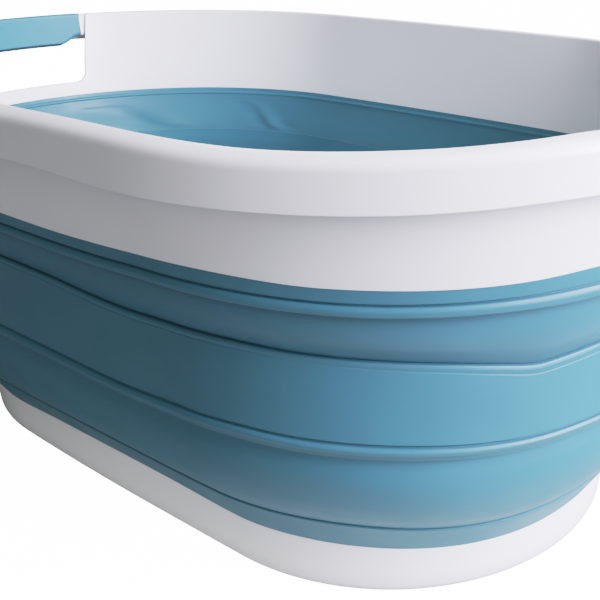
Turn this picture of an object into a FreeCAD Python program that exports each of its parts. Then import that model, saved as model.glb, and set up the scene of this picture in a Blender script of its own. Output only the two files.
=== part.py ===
import FreeCAD
import Part
import Sketcher
import math
import os
import re

# A fold-flat baby bathtub. Every ring of the wall runs round the same oval of four
# tangent arcs. An inset is measured inwards from the skirt's outer edge, and a height
# upwards from the surface that the feet stand on. All sizes are in millimetres.

SIZES = {
    # the oval
    "halfLength": 318.0,
    "halfWidth": 214.0,
    "endRadius": 212.0,
    # white rim: lip, skirt and wall
    "skirtEdge": 0.0,
    "rimTop": 265.0,
    "lipSheet": 3.0,
    "lipEdge": 11.6,
    "lipEdgeRadius": 3.2,
    "bendStart": 7.5,
    "bendEnd": 1.9,
    "bendDrop": 5.8,
    "bendRadius": 6.2,
    "skirtFoot": 241.7,
    "skirtSheet": 2.4,
    "skirtRoot": 4.6,
    "skirtRootDrop": 7.5,
    "skirtRootRadius": 5.5,
    "lipRoot": 8.5,
    "wallHead": 14.8,
    "wallFootInset": 20.4,
    "wallFoot": 202.6,
    "wallSheet": 2.8,
    "tongueFoot": 196.0,
    "tongueFace": 21.9,
    "tongueFootFace": 22.4,
    "innerFoot": 24.1,
    # handle windows and grips
    "handleAngle": 38.0,
    "gripAngle": 36.0,
    "windowFoot": 207.0,
    "windowDepth": 30.0,
    "gripFoot": 239.0,
    "gripBack": 5.2,
    "gripFace": 12.4,
    "gripRound": 3.0,
    # upper band with its bead
    "bandFace": 20.8,
    "grooveInset": 22.6,
    "grooveLevel": 194.0,
    "beadRadius": 3.5,
    "beadFootInset": 23.8,
    "beadFoot": 187.6,
    "skin": 2.4,
    # fold clearances
    "fit": 0.3,
    "upperFoldRadius": 34.0,
    "upperFoldBackRadius": 31.6,
    "lowerFoldRadius": 72.0,
    "lowerFoldBackRadius": 69.6,
    # middle band
    "midTop": 160.4,
    "midTopInset": 38.9,
    "midLip": 37.4,
    "midLipLevel": 158.3,
    "midGroove": 38.3,
    "midGrooveLevel": 155.8,
    "midFace": 37.2,
    "midFaceLevel": 153.4,
    "midFootFace": 34.0,
    "midFootLevel": 116.4,
    "lowBeadFootInset": 34.8,
    "lowBeadRadius": 4.8,
    "midFoot": 107.3,
    "midSheet": 3.4,
    # lower band
    "seamTop": 54.8,
    "seamInset": 53.6,
    "seamLip": 52.9,
    "seamLevel": 53.9,
    "seamGroove": 54.0,
    "seamGrooveLevel": 52.4,
    "lowBandFoot": 66.8,
    "sleeveTop": 45.0,
    "sleeveFace": 61.4,
    "sleeveFoot": 68.6,
    # base tray
    "trayTop": 33.3,
    "trayFace": 67.0,
    "trayFoot": 69.4,
    "trayFootLevel": 7.6,
    "trayFootRadius": 5.6,
    "trayHeel": 75.0,
    "ringLevel": 2.0,
    "ringWidth": 5.0,
    "floorTop": 7.0,
    "floorSheet": 3.0,
    "traySheet": 3.2,
    "trayCove": 77.0,
    "coveRadius": 4.2,
    "coveTop": 11.0,
    "coveFace": 72.8,
    # drain and plug
    "plugCentre": 0.0,
    "drainPlace": 168.0,
    "drainRadius": 17.0,
    "recessRadius": 30.0,
    "recessDepth": 1.4,
    "collarRadius": 22.0,
    "collarDrop": 1.5,
    "plugGap": 0.4,
    "plugFlange": 25.0,
    "plugSheet": 2.6,
    "plugNeck": 5.5,
    "plugKnob": 8.5,
    "plugKnobTop": 21.0,
    "plugKnobFoot": 14.5,
    "plugStemFoot": 2.8,
    # feet
    "footRadius": 15.0,
    "footHeight": 4.0,
    "footX": 150.0,
    "footY": 82.0,
}

SIDE_RADIUS = (
    "((Sheet.halfLength - Sheet.endRadius) ^ 2 + Sheet.halfWidth ^ 2 - Sheet.endRadius ^ 2)"
    " / (2 * (Sheet.halfWidth - Sheet.endRadius))"
)
FULL_TURN = 360
SMALL = 1e-6

# Each corner is (inset, height), or (inset, height, radius) where an arc leads to the next
# corner. A leading minus on the radius makes the arc hollow instead of round.
RIM = [
    ("innerFoot", "tongueFoot"),
    ("wallHead", "rimTop - lipEdgeRadius", "lipEdgeRadius"),
    ("lipEdge", "rimTop"),
    ("bendStart", "rimTop", "bendRadius"),
    ("bendEnd", "rimTop - bendDrop"),
    ("skirtEdge", "skirtFoot"),
    ("skirtSheet", "skirtFoot"),
    ("skirtRoot", "rimTop - skirtRootDrop", "-skirtRootRadius"),
    ("lipRoot", "rimTop - lipSheet"),
    ("lipEdge - lipSheet + wallSheet", "rimTop - lipSheet"),
    ("wallFootInset", "wallFoot"),
    ("tongueFace", "wallFoot"),
    ("tongueFootFace", "tongueFoot"),
]
UPPER_BAND = [
    ("bandFace", "wallFoot"),
    ("grooveInset", "grooveLevel", "beadRadius"),
    ("beadFootInset", "beadFoot"),
    ("beadFootInset + skin", "beadFoot"),
    ("innerFoot", "tongueFoot"),
    ("tongueFootFace", "tongueFoot"),
    ("tongueFace", "wallFoot"),
]
UPPER_FOLD = [
    ("beadFootInset", "beadFoot - fit", "upperFoldRadius"),
    ("midTopInset", "midTop + fit"),
    ("midTopInset + skin", "midTop + fit", "-upperFoldBackRadius"),
    ("beadFootInset + skin", "beadFoot - fit"),
]
MID_BAND = [
    ("midTopInset", "midTop"),
    ("midLip", "midLipLevel"),
    ("midGroove", "midGrooveLevel"),
    ("midFace", "midFaceLevel"),
    ("midFootFace", "midFootLevel", "lowBeadRadius"),
    ("lowBeadFootInset", "midFoot"),
    ("lowBeadFootInset + midSheet", "midFoot"),
    ("midFootFace + midSheet", "midFootLevel"),
    ("midFace + midSheet", "midFaceLevel"),
    ("midTopInset + skin", "midTop"),
]
LOWER_FOLD = [
    ("lowBeadFootInset", "midFoot - fit", "lowerFoldRadius"),
    ("seamInset", "seamTop + fit"),
    ("seamInset + skin", "seamTop + fit", "-lowerFoldBackRadius"),
    ("lowBeadFootInset + skin", "midFoot - fit"),
]
LOWER_BAND = [
    ("seamInset", "seamTop"),
    ("seamLip", "seamLevel"),
    ("seamGroove", "seamGrooveLevel"),
    ("lowBandFoot", "trayTop"),
    ("sleeveFoot", "trayTop"),
    ("sleeveFace", "sleeveTop"),
    ("sleeveFace + skin", "sleeveTop"),
    ("seamInset + skin", "seamTop"),
]
TRAY_WALL = [
    ("sleeveFace", "sleeveTop"),
    ("sleeveFoot", "trayTop"),
    ("trayFace", "trayTop"),
    ("trayFoot", "trayFootLevel", "trayFootRadius"),
    ("trayHeel", "ringLevel"),
    ("trayHeel + ringWidth", "ringLevel"),
    ("trayHeel + ringWidth", "floorTop"),
    ("trayCove", "floorTop", "-coveRadius"),
    ("coveFace", "coveTop"),
    ("trayFace + traySheet", "trayTop"),
    ("sleeveFace + skin", "sleeveTop"),
]
HANDLE_WINDOW = [
    ("gripFace", "windowFoot"),
    ("windowDepth", "windowFoot"),
    ("windowDepth", "rimTop + skin"),
    ("gripFace", "rimTop + skin"),
]
GRIP_SEAT = [
    ("gripBack", "gripFoot"),
    ("gripFace + fit", "gripFoot"),
    ("gripFace + fit", "rimTop + skin"),
    ("gripBack", "rimTop + skin"),
]
GRIP = [
    ("gripBack", "gripFoot + gripRound"),
    ("gripBack", "rimTop - fit"),
    ("bendStart", "rimTop"),
    ("gripFace - gripRound", "rimTop", "gripRound"),
    ("gripFace", "rimTop - gripRound"),
    ("gripFace", "gripFoot + gripRound", "gripRound"),
    ("gripFace - gripRound", "gripFoot"),
    ("gripBack + gripRound", "gripFoot", "gripRound"),
]
PLUG = [
    ("plugCentre", "plugStemFoot"),
    ("drainRadius - plugGap", "plugStemFoot"),
    ("drainRadius - plugGap", "floorTop - recessDepth + plugGap"),
    ("plugFlange", "floorTop - recessDepth + plugGap"),
    ("plugFlange - plugGap", "floorTop - recessDepth + plugGap + plugSheet"),
    ("plugNeck", "floorTop + plugSheet"),
    ("plugNeck", "plugKnobFoot"),
    ("plugKnob", "plugKnobFoot"),
    ("plugKnob", "plugKnobTop"),
    ("plugCentre", "plugKnobTop"),
]


def value(text):
    """The number that a sum of named sizes comes to."""
    total, sign = 0.0, 1.0
    for word in text.split():
        if word in "+-":
            sign = 1.0 if word == "+" else -1.0
        else:
            total += sign * SIZES[word]
    return total


def bound(text):
    """The same sum as an expression on the spreadsheet."""
    return re.sub(r"([A-Za-z]+)", r"Sheet.\1", text)


def makeSheet(doc):
    sheet = doc.addObject("Spreadsheet::Sheet", "Sheet")
    for row, (name, size) in enumerate(SIZES.items(), start=1):
        sheet.set("A%d" % row, name)
        sheet.set("B%d" % row, str(size))
        sheet.setAlias("B%d" % row, name)
    doc.recompute()


def addSketch(body, name, role):
    sketch = body.newObject("Sketcher::SketchObject", name)
    plane = next(part for part in body.Origin.OriginFeatures if part.Role == role)
    sketch.AttachmentSupport = [(plane, "")]
    sketch.MapMode = "FlatFace"
    return sketch


def constrain(sketch, expression, *parts):
    """Adds a dimension and binds it to the spreadsheet."""
    index = sketch.addConstraint(Sketcher.Constraint(*parts))
    sketch.setExpression("Constraints[%d]" % index, expression)


def sketchArc(centreX, centreY, radius, start, end):
    circle = Part.Circle(FreeCAD.Vector(centreX, centreY, 0), FreeCAD.Vector(0, 0, 1), radius)
    return Part.ArcOfCircle(circle, start, end)


def ovalSketch(body, name, inset=None):
    """The oval of tangent arcs, drawn from the +X end and back to it."""
    taken = value(inset) if inset else 0.0
    less = " - (%s)" % bound(inset) if inset else ""
    half = value("halfLength") - taken
    end = value("endRadius") - taken
    centre = value("halfLength") - value("endRadius")
    rise = value("halfWidth") ** 2 - value("endRadius") ** 2
    fullSide = (centre**2 + rise) / (2 * (value("halfWidth") - value("endRadius")))
    side = fullSide - taken
    drop = fullSide - value("halfWidth")
    turn = math.atan2(drop, centre)
    sketch = addSketch(body, name, "XY_Plane")
    sketch.addGeometry(
        [
            sketchArc(centre, 0, end, 0, turn),
            sketchArc(0, -drop, side, turn, math.pi - turn),
            sketchArc(-centre, 0, end, math.pi - turn, math.pi + turn),
            sketchArc(0, drop, side, math.pi + turn, 2 * math.pi - turn),
            sketchArc(centre, 0, end, 2 * math.pi - turn, 2 * math.pi),
        ],
        False,
    )
    for arc in range(4):
        sketch.addConstraint(Sketcher.Constraint("Tangent", arc, 2, arc + 1, 1))
    sketch.addConstraint(Sketcher.Constraint("Coincident", 4, 2, 0, 1))
    sketch.addConstraint(Sketcher.Constraint("Coincident", 4, 3, 0, 3))
    sketch.addConstraint(Sketcher.Constraint("PointOnObject", 0, 1, -1))
    sketch.addConstraint(Sketcher.Constraint("PointOnObject", 0, 3, -1))
    sketch.addConstraint(Sketcher.Constraint("Equal", 0, 2))
    sketch.addConstraint(Sketcher.Constraint("Symmetric", 0, 3, 2, 3, -1, 1))
    constrain(sketch, "Sheet.halfLength" + less, "DistanceX", -1, 1, 0, 1, half)
    constrain(sketch, "Sheet.endRadius" + less, "Radius", 0, end)
    constrain(sketch, SIDE_RADIUS + less, "Radius", 1, side)
    constrain(sketch, SIDE_RADIUS + less, "Radius", 3, side)
    return sketch


def curvedEdge(start, finish, radius, leftward):
    """An arc between two corners, whose centre lies to the left or right of the chord."""
    chord = finish - start
    reach = math.sqrt(max(radius**2 - (chord.Length / 2) ** 2, 0.0))
    left = FreeCAD.Vector(-chord.y, chord.x, 0).normalize()
    centre = (start + finish) * 0.5 + left * (reach if leftward else -reach)
    first, last = (start, finish) if leftward else (finish, start)
    begin = math.atan2(first.y - centre.y, first.x - centre.x)
    end = math.atan2(last.y - centre.y, last.x - centre.x)
    return sketchArc(centre.x, centre.y, radius, begin, end if end > begin else end + 2 * math.pi)


def profileSketch(body, name, corners, base="halfLength", role="XZ_Plane"):
    """A closed section at the +X end, or one about the Z axis when base is empty."""
    sketch = addSketch(body, name, role)
    places = []
    for corner in corners:
        across = value(base) - value(corner[0]) if base else value(corner[0])
        places.append(FreeCAD.Vector(across, value(corner[1]), 0))
    count = len(places)
    turning = sum(places[k - 1].x * places[k].y - places[k].x * places[k - 1].y for k in range(count))
    firsts, lasts = [], []
    for index, corner in enumerate(corners):
        start, finish = places[index], places[(index + 1) % count]
        if len(corner) == 2:
            sketch.addGeometry(Part.LineSegment(start, finish), False)
            firsts.append(1)
            lasts.append(2)
            continue
        leftward = (not corner[2].startswith("-")) == (turning > 0)
        sketch.addGeometry(curvedEdge(start, finish, value(corner[2].lstrip("-")), leftward), False)
        firsts.append(1 if leftward else 2)
        lasts.append(2 if leftward else 1)
    for index in range(count):
        following = (index + 1) % count
        joined = Sketcher.Constraint("Coincident", index, lasts[index], following, firsts[following])
        sketch.addConstraint(joined)
    for index, corner in enumerate(corners):
        across = "Sheet.%s - (%s)" % (base, bound(corner[0])) if base else bound(corner[0])
        point = (-1, 1, index, firsts[index])
        if abs(places[index].x) > SMALL:
            constrain(sketch, across, "DistanceX", *point, places[index].x)
        else:
            sketch.addConstraint(Sketcher.Constraint("PointOnObject", index, firsts[index], -2))
        constrain(sketch, bound(corner[1]), "DistanceY", *point, places[index].y)
        if len(corner) == 3:
            radiusText = corner[2].lstrip("-")
            constrain(sketch, bound(radiusText), "Radius", index, value(radiusText))
    return sketch


def makeRing(doc, label, corners):
    """A section carried all the way round the oval."""
    body = doc.addObject("PartDesign::Body", label)
    body.Label = label
    spine = ovalSketch(body, label + "_oval")
    section = profileSketch(body, label + "_section", corners)
    doc.recompute()
    ring = body.newObject("PartDesign::AdditivePipe", label + "_ring")
    ring.Profile = section
    ring.Spine = (spine, ["Edge%d" % (edge + 1) for edge in range(5)])
    doc.recompute()
    return body


def endAxis(sketch):
    """A construction line through the end arcs' centre, parallel to Z."""
    centre = value("halfLength - endRadius")
    top = value("rimTop")
    line = Part.LineSegment(FreeCAD.Vector(centre, 0, 0), FreeCAD.Vector(centre, top, 0))
    index = sketch.addGeometry(line, True)
    sketch.addConstraint(Sketcher.Constraint("PointOnObject", index, 1, -1))
    sketch.addConstraint(Sketcher.Constraint("Vertical", index))
    constrain(sketch, "Sheet.halfLength - Sheet.endRadius", "DistanceX", -1, 1, index, 1, centre)
    constrain(sketch, "Sheet.rimTop", "DistanceY", index, 1, index, 2, top)


def cutHandles(doc, body):
    """The window through each end wall and the seat of each grip."""
    for name, corners, angle in (
        ("window", HANDLE_WINDOW, "handleAngle"),
        ("seat", GRIP_SEAT, "gripAngle"),
    ):
        before = body.Shape.Volume
        section = profileSketch(body, name + "_section", corners)
        endAxis(section)
        doc.recompute()
        groove = body.newObject("PartDesign::Groove", name)
        groove.Profile = section
        groove.ReferenceAxis = (section, ["Axis0"])
        groove.Midplane = True
        groove.setExpression("Angle", "Sheet." + angle)
        doc.recompute()
        mirrored = body.newObject("PartDesign::Mirrored", name + "_pair")
        mirrored.Originals = [groove]
        side = next(part for part in body.Origin.OriginFeatures if part.Role == "YZ_Plane")
        mirrored.MirrorPlane = (side, [""])
        body.Tip = mirrored
        doc.recompute()
        if body.Shape.Volume >= before:
            raise RuntimeError(name + " removed nothing from the rim")


def makeGrip(doc, label, turn):
    body = doc.addObject("PartDesign::Body", label)
    body.Label = label
    section = profileSketch(body, label + "_section", GRIP)
    endAxis(section)
    doc.recompute()
    grip = body.newObject("PartDesign::Revolution", label + "_grip")
    grip.Profile = section
    grip.ReferenceAxis = (section, ["Axis0"])
    grip.Midplane = True
    grip.setExpression("Angle", "Sheet.gripAngle")
    body.Placement = FreeCAD.Placement(FreeCAD.Vector(), FreeCAD.Rotation(FreeCAD.Vector(0, 0, 1), turn))
    doc.recompute()
    return body


def circleSketch(body, name, radius, x, y=None):
    """A circle on the ground plane, at -x on the long axis or at (x, y)."""
    sketch = addSketch(body, name, "XY_Plane")
    across = value(x) if y else -value(x)
    along = value(y) if y else 0.0
    centre = FreeCAD.Vector(across, along, 0)
    sketch.addGeometry(Part.Circle(centre, FreeCAD.Vector(0, 0, 1), value(radius)), False)
    constrain(sketch, bound(radius), "Radius", 0, value(radius))
    constrain(sketch, ("" if y else "-") + bound(x), "DistanceX", -1, 1, 0, 3, across)
    if y:
        constrain(sketch, bound(y), "DistanceY", -1, 1, 0, 3, along)
    else:
        sketch.addConstraint(Sketcher.Constraint("PointOnObject", 0, 3, -1))
    return sketch


def padFrom(doc, body, sketch, height, length):
    """Pads a ground-plane sketch upwards from the given height."""
    sketch.setExpression(".AttachmentOffset.Base.z", bound(height))
    doc.recompute()
    pad = body.newObject("PartDesign::Pad", sketch.Name + "_pad")
    pad.Profile = sketch
    pad.setExpression("Length", bound(length))
    doc.recompute()


def pocketFrom(doc, body, sketch, height, length):
    """Cuts downwards from the given height and makes sure that it cut."""
    before = body.Shape.Volume
    sketch.setExpression(".AttachmentOffset.Base.z", bound(height))
    doc.recompute()
    pocket = body.newObject("PartDesign::Pocket", sketch.Name + "_pocket")
    pocket.Profile = sketch
    pocket.setExpression("Length", bound(length))
    doc.recompute()
    if body.Shape.Volume >= before:
        raise RuntimeError(sketch.Name + " removed nothing")


def makeTray(doc):
    """The base tray: its wall, the floor, and the drain with its collar and recess."""
    body = makeRing(doc, "base_tray", TRAY_WALL)
    floor = ovalSketch(body, "floor", "trayHeel + ringWidth - plugGap")
    padFrom(doc, body, floor, "floorTop - floorSheet", "floorSheet")
    collar = circleSketch(body, "collar", "collarRadius", "drainPlace")
    padFrom(doc, body, collar, "floorTop - floorSheet - collarDrop", "collarDrop + plugGap")
    recess = circleSketch(body, "recess", "recessRadius", "drainPlace")
    pocketFrom(doc, body, recess, "floorTop", "recessDepth")
    drain = circleSketch(body, "drain", "drainRadius", "drainPlace")
    pocketFrom(doc, body, drain, "floorTop", "floorTop")
    return body


def makePlug(doc):
    body = doc.addObject("PartDesign::Body", "drain_plug")
    body.Label = "drain_plug"
    section = profileSketch(body, "plug_section", PLUG, base="")
    doc.recompute()
    plug = body.newObject("PartDesign::Revolution", "plug")
    plug.Profile = section
    plug.ReferenceAxis = (section, ["V_Axis"])
    plug.Angle = FULL_TURN
    body.setExpression(".Placement.Base.x", "-Sheet.drainPlace")
    doc.recompute()
    return body


def makeFoot(doc, label, xSign, ySign):
    foot = doc.addObject("Part::Cylinder", label)
    foot.Label = label
    foot.setExpression("Radius", "Sheet.footRadius")
    foot.setExpression("Height", "Sheet.footHeight")
    foot.setExpression(".Placement.Base.x", "%d * Sheet.footX" % xSign)
    foot.setExpression(".Placement.Base.y", "%d * Sheet.footY" % ySign)
    return foot


def checkModel(doc, pieces):
    for item in doc.Objects:
        if "Invalid" in item.State or "Error" in item.State:
            raise RuntimeError("%s failed: %s" % (item.Name, item.State))
    for piece in pieces:
        if piece.Shape.isNull() or not piece.Shape.isValid() or len(piece.Shape.Solids) != 1:
            raise RuntimeError(piece.Label + " is not one valid solid")


def main():
    doc = FreeCAD.newDocument("tub")
    makeSheet(doc)
    rim = makeRing(doc, "rim", RIM)
    cutHandles(doc, rim)
    pieces = [
        rim,
        makeGrip(doc, "handle_grip_right", 0),
        makeGrip(doc, "handle_grip_left", 180),
        makeRing(doc, "upper_band", UPPER_BAND),
        makeRing(doc, "upper_fold", UPPER_FOLD),
        makeRing(doc, "middle_band", MID_BAND),
        makeRing(doc, "lower_fold", LOWER_FOLD),
        makeRing(doc, "lower_band", LOWER_BAND),
        makeTray(doc),
        makePlug(doc),
    ]
    for xName, xSign in (("left", -1), ("right", 1)):
        for yName, ySign in (("front", -1), ("rear", 1)):
            pieces.append(makeFoot(doc, "foot_%s_%s" % (yName, xName), xSign, ySign))
    doc.recompute()
    checkModel(doc, pieces)
    os.makedirs("parts", exist_ok=True)
    for piece in pieces:
        piece.Shape.exportStep("parts/%s.step" % piece.Label)
        box = piece.Shape.BoundBox
        report = (piece.Label, piece.Shape.Volume / 1000, box.XMax, box.YMax, box.ZMin, box.ZMax)
        print("%-18s %8.1f cm3  x %.1f y %.1f z %.1f to %.1f" % report)


main()
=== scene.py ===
import bpy
import bmesh
import math
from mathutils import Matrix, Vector, noise


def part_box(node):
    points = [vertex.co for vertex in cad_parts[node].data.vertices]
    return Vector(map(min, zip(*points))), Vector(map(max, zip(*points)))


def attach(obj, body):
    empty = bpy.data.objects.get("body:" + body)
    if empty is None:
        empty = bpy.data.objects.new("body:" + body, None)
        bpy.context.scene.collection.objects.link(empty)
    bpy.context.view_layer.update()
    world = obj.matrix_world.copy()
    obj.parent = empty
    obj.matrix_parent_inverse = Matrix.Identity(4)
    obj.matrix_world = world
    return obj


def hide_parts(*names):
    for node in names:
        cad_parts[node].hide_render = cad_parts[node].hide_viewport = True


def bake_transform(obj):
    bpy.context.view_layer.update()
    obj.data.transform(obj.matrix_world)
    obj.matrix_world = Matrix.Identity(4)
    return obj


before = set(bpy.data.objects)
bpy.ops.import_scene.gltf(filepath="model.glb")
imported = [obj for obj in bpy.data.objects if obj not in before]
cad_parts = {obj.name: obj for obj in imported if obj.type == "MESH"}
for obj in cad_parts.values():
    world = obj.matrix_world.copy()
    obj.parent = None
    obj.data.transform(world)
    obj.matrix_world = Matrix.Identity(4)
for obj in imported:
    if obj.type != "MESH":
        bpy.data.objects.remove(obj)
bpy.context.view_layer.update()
mm = 0.001
print("frame loaded")

# the oval every level of the tub follows
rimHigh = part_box("rim")[1]
oval = {
    "halfLength": rimHigh.x / mm,
    "halfWidth": rimHigh.y / mm,
    "endRadius": 212.0,
    "columns": 480,
}
endCentre = oval["halfLength"] - oval["endRadius"]
sideRise = oval["halfWidth"] ** 2 - oval["endRadius"] ** 2
sideRadius = (endCentre**2 + sideRise) / (2 * (oval["halfWidth"] - oval["endRadius"]))
sideDrop = sideRadius - oval["halfWidth"]
endTurn = math.atan2(sideDrop, endCentre)
sideHalf = sideRadius * (math.pi / 2 - endTurn)
quarter = sideHalf + oval["endRadius"] * endTurn


def ovalPoint(along):
    # along runs from the middle of the front side towards +X and on round the tub
    along = (along + 2 * quarter) % (4 * quarter) - 2 * quarter
    right = 1 if along >= 0 else -1
    fromFront = abs(along)
    rear = 1 if fromFront > quarter else -1
    near = 2 * quarter - fromFront if rear > 0 else fromFront
    if near <= sideHalf:
        angle = near / sideRadius
        x, y = sideRadius * math.sin(angle), sideRadius * math.cos(angle) - sideDrop
        nx, ny = math.sin(angle), math.cos(angle)
    else:
        angle = (quarter - near) / oval["endRadius"]
        x, y = endCentre + oval["endRadius"] * math.cos(angle), oval["endRadius"] * math.sin(angle)
        nx, ny = math.cos(angle), math.sin(angle)
    return Vector((right * x, rear * y, 0)), Vector((right * nx, rear * ny, 0))


def ovalPlace(x, y):
    # the way back: how far along and how far inside the skirt's edge a point is
    ax, ay = abs(x), abs(y)
    angle = math.atan2(ay, ax - endCentre)
    if angle <= endTurn:
        near = quarter - oval["endRadius"] * angle
        inset = oval["endRadius"] - math.hypot(ax - endCentre, ay)
    else:
        near = sideRadius * math.atan2(ax, ay + sideDrop)
        inset = sideRadius - math.hypot(ax, ay + sideDrop)
    fromFront = near if y < 0 else 2 * quarter - near
    return (fromFront if x >= 0 else -fromFront), inset


def endPoint(side, angle, inset, height):
    # a place on one end's arc, in metres
    reach = oval["endRadius"] - inset
    return Vector((side * (endCentre + reach * math.cos(angle)), reach * math.sin(angle), height)) * mm


liftTable = {
    # a moulding is never quite level: height -> how far each place along the oval sits up or down
    4.0: [
        (-120, 0.0), (-20, 0.5), (60, 0.9), (120, 0.0), (200, -0.6), (260, -0.8), (400, -0.5),
        (520, 0.0),
    ],
    33.3: [
        (-170, 0.0), (-110, -1.6), (-62, 1.0), (4, 2.8), (60, 3.0), (115, 1.4), (178, 1.6),
        (225, 0.9), (270, -0.4), (317, -1.6), (371, -1.8), (425, -0.8), (540, 0.0),
    ],
    54.0: [
        (-170, 0.0), (-110, -1.0), (0, 2.0), (110, 2.4), (187, 2.6), (228, 1.7), (267, -0.2),
        (308, -1.7), (354, -1.9), (431, 0.6), (540, 0.0),
    ],
    112.0: [
        (-160, 0.0), (-50, 0.4), (11, 0.4), (64, 0.0), (111, 1.5), (155, 2.3), (199, 1.0),
        (232, 0.2), (264, -0.7), (296, -1.7), (331, -1.9), (383, -1.1), (540, 0.0),
    ],
    157.0: [
        (-180, 0.0), (-49, 1.1), (2, 1.0), (50, -1.0), (75, -1.1), (109, 0.3), (153, 1.3),
        (198, -0.2), (242, -1.7), (284, -4.4), (314, -7.9), (331, -10.4), (340, -11.1),
        (350, -10.6), (372, -9.2), (420, -7.0), (520, 0.0),
    ],
    190.0: [
        (-160, 0.0), (-12, 0.2), (74, 0.8), (111, 2.0), (160, 1.6), (205, 0.8), (243, 0.1),
        (309, 0.2), (400, 0.4), (560, 0.0),
    ],
    202.6: [
        (-200, 0.0), (-40, -1.4), (37, -1.7), (78, -0.7), (113, 0.7), (147, 1.2), (174, 0.7),
        (206, -0.5), (229, -0.8), (275, -1.1), (318, -0.4), (359, 1.3), (430, 1.2), (580, 0.0),
    ],
    241.7: [
        (-200, 0.0), (0, 0.8), (77, 0.6), (111, -0.5), (165, -1.0), (213, -0.6), (250, 0.2),
        (282, 1.4), (314, 2.9), (345, 3.5), (430, 1.6), (580, 0.0),
    ],
    265.0: [
        (-200, 0.0), (22, 0.2), (80, 0.6), (131, 0.2), (165, -0.6), (187, -0.9), (213, -0.6),
        (243, 0.2), (276, 1.3), (310, 2.9), (345, 4.4), (430, 2.0), (580, 0.0),
    ],
}


def tableAt(stations, place):
    # a smooth curve through the stations, flat beyond the first and the last
    if place <= stations[0][0] or place >= stations[-1][0]:
        return 0.0
    index = max(i for i in range(len(stations) - 1) if stations[i][0] <= place)
    (a, liftA), (b, liftB) = stations[index], stations[index + 1]
    before, after = stations[max(index - 1, 0)], stations[min(index + 2, len(stations) - 1)]
    width = b - a
    slopeA = (liftB - before[1]) / (b - before[0]) * width if index else 0.0
    slopeB = (after[1] - liftA) / (after[0] - a) * width if index + 2 < len(stations) else 0.0
    t = (place - a) / width
    return (
        (2 * t**3 - 3 * t**2 + 1) * liftA
        + (t**3 - 2 * t**2 + t) * slopeA
        + (3 * t**2 - 2 * t**3) * liftB
        + (t**3 - t**2) * slopeB
    )


def liftAt(along, height):
    if along < -quarter:
        along += 4 * quarter
    levels = sorted(liftTable)
    if height <= levels[0]:
        return tableAt(liftTable[levels[0]], along) * max(height, 0.0) / levels[0]
    for low, high in zip(levels, levels[1:]):
        if height <= high:
            share = (height - low) / (high - low)
            below, above = tableAt(liftTable[low], along), tableAt(liftTable[high], along)
            return (1 - share) * below + share * above
    return tableAt(liftTable[levels[-1]], along)


def smooth(value, low, high):
    share = min(max((value - low) / (high - low), 0.0), 1.0)
    return share * share * (3 - 2 * share)


# small helpers for node trees and meshes
def addNode(tree, kind, settings=None, links=None):
    node = tree.nodes.new(kind)
    for name, value in (settings or {}).items():
        if name in node.inputs:
            node.inputs[name].default_value = value
        else:
            setattr(node, name, value)
    for name, source in (links or {}).items():
        tree.links.new(source, node.inputs[name])
    return node


def addInput(tree, name, kind, value=None):
    socket = tree.interface.new_socket(name=name, in_out="INPUT", socket_type=kind)
    if value is not None:
        socket.default_value = value
    return socket


def newTree(name):
    tree = bpy.data.node_groups.new(name, "GeometryNodeTree")
    addInput(tree, "Geometry", "NodeSocketGeometry")
    tree.interface.new_socket(name="Geometry", in_out="OUTPUT", socket_type="NodeSocketGeometry")
    return tree, tree.nodes.new("NodeGroupInput"), tree.nodes.new("NodeGroupOutput")


def setInputs(modifier, tree, values):
    for item in tree.interface.items_tree:
        if item.name in values:
            modifier[item.identifier] = values[item.name]


def newObject(name, mesh):
    obj = bpy.data.objects.new(name, mesh)
    bpy.context.scene.collection.objects.link(obj)
    return obj


def freeze(obj, name):
    # turns what the modifiers make into a plain mesh of its own
    bpy.context.view_layer.update()
    evaluated = obj.evaluated_get(bpy.context.evaluated_depsgraph_get())
    mesh = bpy.data.meshes.new_from_object(evaluated)
    mesh.name = name
    bpy.data.objects.remove(obj, do_unlink=True)
    return newObject(name, mesh)


def finishMesh(obj, angle=40, outward=True):
    work = bmesh.new()
    work.from_mesh(obj.data)
    bmesh.ops.remove_doubles(work, verts=work.verts, dist=1e-6)
    if outward:
        bmesh.ops.recalc_face_normals(work, faces=work.faces)
    for face in work.faces:
        face.smooth = True
    work.to_mesh(obj.data)
    work.free()
    obj.data.set_sharp_from_angle(angle=math.radians(angle))
    obj.data.update()


def meshFrom(name, points, faces):
    mesh = bpy.data.meshes.new(name)
    mesh.from_pydata([tuple(p) for p in points], [], faces)
    mesh.validate()
    return newObject(name, mesh)


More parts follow.
